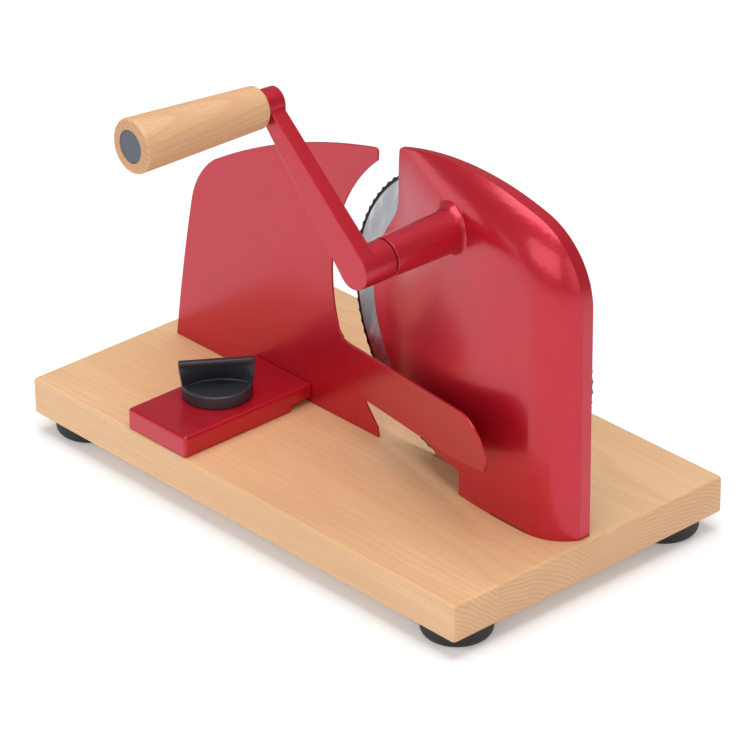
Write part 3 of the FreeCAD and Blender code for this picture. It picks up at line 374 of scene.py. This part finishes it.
def plastic(name, colour, roughness, scale, depth):
    """Moulded plastic with a fine even grain, scale to the metre and depth metres deep."""
    finish = Finish(name)
    grain = finish.noise(finish.place(), scale)
    finish.set(Base_Color=finish.mix(grain, colour, shade(colour, 0.75)),
               Roughness=finish.calc("MULTIPLY_ADD", grain, 0.12, roughness))
    finish.bump(grain, distance=depth, strength=0.6)
    return finish


STAVE_WIDTH = 0.065             # of the board's glued staves, and where one of their joints lies
STAVE_JOINT = bench(0, 98, 0).y
ONE_PIECE = 0.5                 # stands for the stave's number in wood of one piece
PITH_SIDE, PITH_DEPTH = 0.06, 0.05      # how far a pith lies beside its stave, and below it
RING_STEP = 0.0026              # from one growth ring to the next
RING_WANDER = 0.014
# how strongly the wood's features show
STAVE_TONE, RING_TONE, END_TONE = 0.3, 0.5, 0.45
# how often they repeat in a metre, along the grain and in the two directions across it
WANDER, BROAD, FIBRE, PORES = (5, 22, 22), (6, 34, 50), (25, 1100, 1100), (330, 1700, 1700)
PORE_SHARES = (0.78, 0.56, 0.54)        # of the dark wood's red, green and blue


def growth_rings(finish, turn, staves):
    """How dark the growth rings make a place, and a chance of the stave's own, both 0 to 1."""
    _, y, z = finish.split(finish.place(turn=turn))
    across = finish.calc("DIVIDE", finish.calc("SUBTRACT", y, STAVE_JOINT), STAVE_WIDTH)
    stave = finish.calc("FLOOR", across) if staves else ONE_PIECE
    own = finish.add("ShaderNodeTexWhiteNoise", noise_dimensions="1D")
    finish.put(own.inputs["W"], stave)
    luck = finish.split(own.outputs["Color"])
    middle_y = finish.calc("MULTIPLY_ADD", stave, STAVE_WIDTH, STAVE_JOINT + STAVE_WIDTH / 2)
    pith_y = finish.calc("MULTIPLY_ADD", luck[0], 2 * PITH_SIDE, -PITH_SIDE)
    pith_z = finish.calc("MULTIPLY_ADD", luck[1], -PITH_DEPTH, -PITH_DEPTH)
    radius = finish.length(finish.calc("SUBTRACT", y, finish.calc("ADD", middle_y, pith_y)),
                           finish.calc("SUBTRACT", z, pith_z))
    wander = finish.noise(finish.place(WANDER, turn))
    rings = finish.calc("MULTIPLY_ADD", wander, RING_WANDER, radius)
    phase = finish.calc("FRACT", finish.calc("DIVIDE", rings, RING_STEP))
    return finish.ramp(phase, (0.0, 0.0), (0.55, 0.2), (0.85, 1.0), (1.0, 0.0)), luck[2]


def pores(finish, turn):
    """Short dark flecks along the grain."""
    distance, chance = finish.cells(finish.place(PORES, turn))
    often = finish.ramp(finish.split(chance)[0], (0.55, 0.0), (0.6, 1.0))
    fleck = finish.ramp(distance, (0.12, 0.4), (0.3, 0.0))
    return finish.calc("MULTIPLY", fleck, often)


def end_grain(finish, turn):
    """How much a face lies across the grain, which runs along y where the frame is turned."""
    normal = finish.split(finish.add("ShaderNodeTexCoord").outputs["Normal"])
    end = finish.calc("ABSOLUTE", normal[1 if any(turn) else 0])
    return finish.calc("MULTIPLY", finish.ramp(end, (0.6, 0.0), (0.9, 1.0)), END_TONE)


def beech(name, pale, dark, turn=(0, 0, 0), staves=True):
    """Solid beech with its grain along x of the turned frame.  Each stave has growth rings round
    a pith of its own, so that the top shows long lines and the end grain shows arcs."""
    finish = Finish(name, Roughness=0.45, Coat_Weight=0.15, Coat_Roughness=0.3)
    deep = tuple(channel * share for channel, share in zip(dark, PORE_SHARES)) + (1,)
    ring, luck = growth_rings(finish, turn, staves)
    broad = finish.noise(finish.place(BROAD, turn), detail=3)
    fibre = finish.noise(finish.place(FIBRE, turn), detail=3, roughness=0.6)
    tone = finish.mix(finish.ramp(broad, (0.35, 0.0), (0.7, 0.7)), pale, dark)
    tone = finish.mix(finish.calc("MULTIPLY", luck, STAVE_TONE if staves else 0.0), tone, dark)
    tone = finish.mix(finish.calc("MULTIPLY", ring, RING_TONE), tone, dark)
    tone = finish.mix(finish.ramp(fibre, (0.35, 0.4), (0.7, 0.0)), tone, dark)
    tone = finish.mix(pores(finish, turn), tone, deep)
    tone = finish.mix(end_grain(finish, turn), tone, finish.mix(ring, dark, deep))
    finish.set(Base_Color=tone)
    finish.bump(fibre, distance=0.00003, strength=0.4)
    return finish


RED = (0.56, 0.009, 0.022, 1)
# metals: colour and roughness; plastics: colour, roughness, grains in a metre and their depth
FINISHES = {
    "beech": beech("beech", linear(242, 202, 157), linear(222, 172, 124)),
    "grip_beech": beech("grip_beech", linear(232, 189, 146), linear(206, 152, 106),
                        turn=(0, 0, math.radians(90)), staves=False),
    "rubber": plastic("rubber", (0.02, 0.02, 0.022, 1), 0.6, 900, 0.00003),
    "red_paint": paint("red_paint", RED),
    "red_sheet": paint("red_sheet", RED),
    "blade_steel": blade_steel(),
    "zinc_steel": metal("zinc_steel", (0.6, 0.6, 0.6, 1), 0.35),
    "bright_steel": metal("bright_steel", (0.68, 0.68, 0.7, 1), 0.22),
    "gear_steel": metal("gear_steel", (0.45, 0.45, 0.47, 1), 0.35),
    "black_steel": metal("black_steel", (0.05, 0.05, 0.055, 1), 0.4),
    "bronze": metal("bronze", (0.62, 0.42, 0.2, 1), 0.4),
    "nylon": plastic("nylon", (0.03, 0.02, 0.02, 1), 0.4, 900, 0.00002),
    "brass": metal("brass", (0.75, 0.58, 0.28, 1), 0.3),
    "knob_plastic": plastic("knob_plastic", (0.028, 0.032, 0.040, 1), 0.30, 1300, 0.00004),
    "cap_plastic": plastic("cap_plastic", linear(92, 98, 112), 0.35, 1300, 0.00002),
    "key_plastic": plastic("key_plastic", (0.75, 0.73, 0.68, 1), 0.4, 900, 0.00002),
}


def dress_nodes():
    """Give each CAD node the finish of its own material slot."""
    for part in frame["record"]["subparts"]:
        mesh = frame["nodes"][part["node"]].data
        mesh.materials.clear()
        mesh.materials.append(FINISHES[part["material_slot"]].material)


# --- pieces that stand for CAD nodes -----------------------------------------------------------
WELD = 2e-6                     # vertices nearer than this are one, in metres
FLAT = math.radians(0.6)        # faces that turn less than this are one
SHARP = 24                      # edges that turn more than this are eased, in degrees
EASE_STEPS = 2
# how wide each piece's edges are eased, in metres
HOUSING_EASE, ARM_EASE, BLOCK_EASE, PLATE_EASE, KNOB_EASE = 0.0005, 0.0007, 0.0010, 0.0003, 0.0004
NODE_BODY = {node: body for body, nodes in frame["record"]["behaviour"]["bodies"].items()
             for node in nodes}
NODE_SLOT = {part["node"]: part["material_slot"] for part in frame["record"]["subparts"]}


def own_form(node):
    """A CAD node's own form, with as few faces as it needs."""
    bm = bmesh.new()
    bm.from_mesh(frame["nodes"][node].data)
    bmesh.ops.remove_doubles(bm, verts=bm.verts, dist=WELD)
    bmesh.ops.dissolve_limit(bm, angle_limit=FLAT, verts=bm.verts, edges=bm.edges)
    return bm


def sharp_edges(bm, turn=SHARP):
    """The edges at which the surface turns by more than that many degrees."""
    return [edge for edge in bm.edges if len(edge.link_faces) == 2
            and math.radians(turn) < edge.calc_face_angle(0) < math.pi]


def ease(bm, width, edges):
    """Round edges off, as enamel, moulding or sanding does."""
    bmesh.ops.bevel(bm, geom=edges, offset=width, offset_type="OFFSET", segments=EASE_STEPS,
                    profile=0.5, affect="EDGES", clamp_overlap=False)


def stand_in(node, bm):
    """Make a mesh under construction into a piece that takes a CAD node's place."""
    for face in bm.faces:
        face.smooth = True
    mesh = bpy.data.meshes.new(node + "_shape")
    bm.to_mesh(mesh)
    bm.free()
    piece = bpy.data.objects.new(node + "_shape", mesh)
    bpy.context.scene.collection.objects.link(piece)
    mesh.materials.append(FINISHES[NODE_SLOT[node]].material)
    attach(piece, NODE_BODY[node])
    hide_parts(node)
    piece.modifiers.new("normals", "WEIGHTED_NORMAL").keep_sharp = True


def softened(node, width, corners=True):
    """A CAD node's own form with its sharp edges eased.  Without corners, the edges at which it
    turns inwards stay sharp."""
    bm = own_form(node)
    edges = sharp_edges(bm)
    if not corners:
        for edge in edges:
            edge.smooth = edge.smooth and edge.is_convex
        edges = [edge for edge in edges if edge.is_convex]
    ease(bm, width, edges)
    stand_in(node, bm)


# The housing's skin, in the bench frame.  The CAD's face meets its rolled edge in a crease.  The
# pressed sheet has none: there the roll fades out towards the left tip, where the face lies low.
FACE, RIM = 83, 107             # the foremost place of the face, and the housing's open rim
FACE_APEX, FACE_RADIUS = 315, 300
HOLLOW_X, HOLLOW_Y, HOLLOW_RADIUS = 191.1, 45, 60
FACE_START = 211.7              # where the hollow turns into the convex face
HOUSING_LEFT, HOUSING_RIGHT, HOUSING_CORNER = 206.5, 356, 48
TOP_CENTRE, TOP_RADIUS = Vector((263.3, -10.1)), 204
CORNER_CENTRE = Vector((308, 139.36))
CAD_ROLL = (37, 6.5)            # radius, and how far its start lies outside the edge
SKIN_ROLL = (30, 3.4)
TIP_LOWER = 5.0                 # how much further back the rolled edge ends at the left tip
BOSS_CENTRE, BOSS_REACH = Vector((267, 163.1)), 19
SKIN_STEP = 2.5                 # of the grid that the skin is cut to
SKIN_SIDE = 0.15                # skin faces look forwards or backwards at least this much
# what lies this near the skin, the rim or the crease counts as on it
SKIN_NEAR, RIM_NEAR, CREASE_NEAR = 1, 0.1, 0.3
SKIN_FADE = 1.2                 # how fast the skin's shift fades out on the way to the rim


def housing_face(x):
    """The face's place along Y, without the roll."""
    if x < FACE_START:
        return HOLLOW_Y + math.sqrt(HOLLOW_RADIUS ** 2 - (x - HOLLOW_X) ** 2)
    return FACE + FACE_RADIUS - math.sqrt(FACE_RADIUS ** 2 - min(x - FACE_APEX, 0) ** 2)


def from_edge(x, z):
    """How far a place lies inside the housing's top, corner and right edges."""
    place = Vector((x, z))
    out = place - CORNER_CENTRE
    if out.y > 0 and (CORNER_CENTRE - TOP_CENTRE).cross(out) < 0:
        return HOUSING_CORNER - out.length
    return min(HOUSING_RIGHT - x, TOP_RADIUS - (place - TOP_CENTRE).length)


def rolled(inside, radius, overlap):
    """How far the surface has rolled back from the face."""
    turned = min(max(radius - overlap - inside, 0), radius)
    return radius - math.sqrt(radius ** 2 - turned ** 2)


def skin_shift(x, z):
    """The CAD's front surface, and how far back from it the pressed sheet's lies."""
    inside, face = from_edge(x, z), housing_face(x)
    cad = max(face, FACE + rolled(inside, *CAD_ROLL))
    along = min(max((x - HOUSING_LEFT) / (CORNER_CENTRE.x - HOUSING_LEFT), 0), 1)
    full = rolled(0, *SKIN_ROLL)
    edge = FACE + full + TIP_LOWER * (1 - along)
    return cad, face + (edge - face) / full * rolled(inside, *SKIN_ROLL) - cad


def on_skin(face):
    """Whether a face belongs to the skin, outside the boss and before the rim."""
    x, y, z = TO_BENCH @ face.calc_center_median()
    clear = (Vector((x, z)) - BOSS_CENTRE).length > BOSS_REACH
    return clear and FACE - SKIN_NEAR < y < RIM - RIM_NEAR and abs(face.normal.y) > SKIN_SIDE


def on_crease(edge):
    """Whether an edge is where the CAD's face meets its roll."""
    x, y, z = TO_BENCH @ ((edge.verts[0].co + edge.verts[1].co) / 2)
    apart = housing_face(x) - FACE - rolled(from_edge(x, z), *CAD_ROLL)
    return abs(apart) < CREASE_NEAR and y < RIM - SKIN_NEAR


def cut_to_grid(bm, faces):
    """Cut faces along a square grid, so that their vertices can follow a curved surface."""
    geometry = list(dict.fromkeys(part for face in faces
                                  for part in (face, *face.verts, *face.edges)))
    low, high = bench_box("blade_housing")
    for axis, along in ((0, (1, 0, 0)), (2, (0, 0, 1))):
        for step in range(1, int((high[axis] - low[axis]) / SKIN_STEP)):
            place = [0, 0, 0]
            place[axis] = low[axis] + step * SKIN_STEP
            cut = bmesh.ops.bisect_plane(bm, geom=geometry, dist=WELD, plane_co=bench(*place),
                                         plane_no=along)
            geometry = cut["geom"]


def shift_skin(bm):
    """Move the housing's front from the CAD's surface to the pressed sheet's."""
    for vert in bm.verts:
        x, y, z = TO_BENCH @ vert.co
        cad, shift = skin_shift(x, z)
        depth = (y - cad) / (RIM - cad)
        if y > cad - SKIN_NEAR:
            vert.co.y += shift * MM * min(1, SKIN_FADE * (1 - depth))


def housing_shell():
    bm = own_form("blade_housing")
    ease(bm, HOUSING_EASE, [edge for edge in sharp_edges(bm) if not on_crease(edge)])
    cut_to_grid(bm, [face for face in bm.faces if on_skin(face)])
    shift_skin(bm)
    stand_in("blade_housing", bm)


# The knob: a dish with a wing across it.  The wing has a straight bead along its top, and under
# it a web whose foot bows back.  Millimetres from the knob's axis, and above the board.
KNOB_TURN = math.radians(55)
KNOB_RADIUS, KNOB_RIM = 20.75, 2.6      # the rim's outer radius and its thickness
# the rim's top, how its outer and inner edges are rounded, and the dish's floor
KNOB_LIP, KNOB_LIP_ROUND, KNOB_LIP_INNER, KNOB_FLOOR = 21, 1.2, 0.8, 19.2
KNOB_CLEAR = 0.3                        # round the insert
KNOB_SHARP = 50                         # edges that turn more than this are eased, in degrees
WASHER_ROOM = 9.5                       # radius of the room for the washer below the insert
WING_LOW_REACH, WING_TOP_REACH = 20.3, 22.5     # half its length at the foot and at the top
WING_CORNER = 2.2                       # how its top corners are rounded
WING_HIGHER = 0.8                       # than the CAD's
BEAD_HALF, BEAD_ROUND, BEAD_LOW = 2.2, 1.0, 3.2     # half its thickness, rounding, depth
WEB_HALF = 1.4                          # half the web's thickness
WEB_BOW, WEB_BOW_AT = 6.5, 19           # the foot's bow, which comes to nothing at that distance
WING_FILLET = 1.0                       # where the web meets the dish's floor
WING_STATIONS, WING_RISES = 28, 6
LATHE_STEPS, ARC_STEPS = 96, 5


def arc(radius, height, bend, start, stop):
    """Points of a profile on an arc of radius bend, between two angles in degrees."""
    turns = [math.radians(start + (stop - start) * i / ARC_STEPS) for i in range(ARC_STEPS + 1)]
    return [(radius + bend * math.cos(t), height + bend * math.sin(t)) for t in turns]


def lathe(bm, profile):
    """Turn a profile of (radius, height) about the z axis."""
    verts = [bm.verts.new((radius, 0, height)) for radius, height in profile]
    edges = [bm.edges.new(pair) for pair in zip(verts, verts[1:])]
    bmesh.ops.spin(bm, geom=verts + edges, cent=(0, 0, 0), axis=(0, 0, 1), angle=math.tau,
                   steps=LATHE_STEPS)
    bmesh.ops.remove_doubles(bm, verts=bm.verts, dist=WELD / MM)


def wing_section(floor, top):
    """From the wing's foot up to its top: height, share of the foot's bow, half thickness."""
    section = [(floor - KNOB_CLEAR, 1, WEB_HALF + WING_FILLET)]
    section += [(height, 1, WEB_HALF + thick) for thick, height in
                arc(WING_FILLET, floor + WING_FILLET, WING_FILLET, 270, 180)]
    low, high = floor + WING_FILLET, top - BEAD_LOW
    section += [(low + (high - low) * i / WING_RISES, 1 - i / WING_RISES, WEB_HALF)
                for i in range(1, WING_RISES + 1)]
    section.append((high + BEAD_HALF - WEB_HALF, 0, BEAD_HALF))
    section += [(height, 0, thick) for thick, height in
                arc(BEAD_HALF - BEAD_ROUND, top - BEAD_ROUND, BEAD_ROUND, 0, 90)]
    return section + [(top, 0, 0)]


def wing_reach(height, floor, top):
    """Half the wing's length at a height: it flares, and its top corners are rounded."""
    reach = WING_LOW_REACH + (WING_TOP_REACH - WING_LOW_REACH) * (height - floor) / (top - floor)
    up = max(height - top + WING_CORNER, 0)
    return reach - WING_CORNER + math.sqrt(WING_CORNER ** 2 - up ** 2)


def wing_ring(bm, section, along):
    """One turn round the wing, at a share of the way from its axis to its end."""
    floor, top = section[0][0], section[-1][0]
    front, back = [], []
    for height, share, thick in section:
        x = along * wing_reach(height, floor, top)
        y = share * WEB_BOW * (1 - (x / WEB_BOW_AT) ** 2)
        front.append(bm.verts.new((x, y - thick, height)))
        if thick:
            back.append(bm.verts.new((x, y + thick, height)))
    return front + back[::-1]


def wing(bm, floor, top):
    """The wing, as rings of vertices along it.  Its ends are strips from front to back."""
    section = wing_section(floor, top)
    rings = [wing_ring(bm, section, 2 * i / WING_STATIONS - 1) for i in range(WING_STATIONS + 1)]
    count = len(rings[0])
    for this, other in zip(rings, rings[1:]):
        for i in range(count):
            j = (i + 1) % count
            bm.faces.new((this[i], this[j], other[j], other[i]))
    for ring in (rings[0], rings[-1]):
        for i in range(count // 2):
            bm.faces.new(dict.fromkeys((ring[i], ring[i + 1], ring[-2 - i], ring[-1 - i])))


def knob():
    low, high = bench_box("clamp_knob")
    insert_low, insert_high = bench_box("knob_insert")
    middle = (insert_low + insert_high) / 2
    seat = (insert_high.x - insert_low.x) / 2 + KNOB_CLEAR
    roof = insert_high.z + KNOB_CLEAR
    inner = KNOB_RADIUS - KNOB_RIM
    bm = bmesh.new()
    lathe(bm, [(0, roof), (seat, roof), (seat, insert_low.z), (WASHER_ROOM, insert_low.z),
               (WASHER_ROOM, low.z), (KNOB_RADIUS, low.z)]
          + arc(KNOB_RADIUS - KNOB_LIP_ROUND, KNOB_LIP - KNOB_LIP_ROUND, KNOB_LIP_ROUND, 0, 90)
          + arc(inner + KNOB_LIP_INNER, KNOB_LIP - KNOB_LIP_INNER, KNOB_LIP_INNER, 90, 180)
          + arc(inner - KNOB_LIP_INNER, KNOB_FLOOR + KNOB_LIP_INNER, KNOB_LIP_INNER, 0, -90)
          + [(0, KNOB_FLOOR)])
    wing(bm, KNOB_FLOOR, high.z + WING_HIGHER)
    bmesh.ops.recalc_face_normals(bm, faces=bm.faces)
    bm.transform(BENCH @ Matrix.Translation((middle.x, middle.y, 0))
                 @ Matrix.Rotation(KNOB_TURN, 4, "Z"))
    ease(bm, KNOB_EASE, sharp_edges(bm, KNOB_SHARP))
    stand_in("clamp_knob", bm)


def make_pieces():
    housing_shell()
    softened("crank_arm", ARM_EASE, corners=False)
    softened("slide_block", BLOCK_EASE)
    softened("stop_plate", PLATE_EASE)
    knob()


make_camera()
make_stage()
dress_nodes()
make_pieces()
bpy.context.scene.view_settings.view_transform = "Standard"
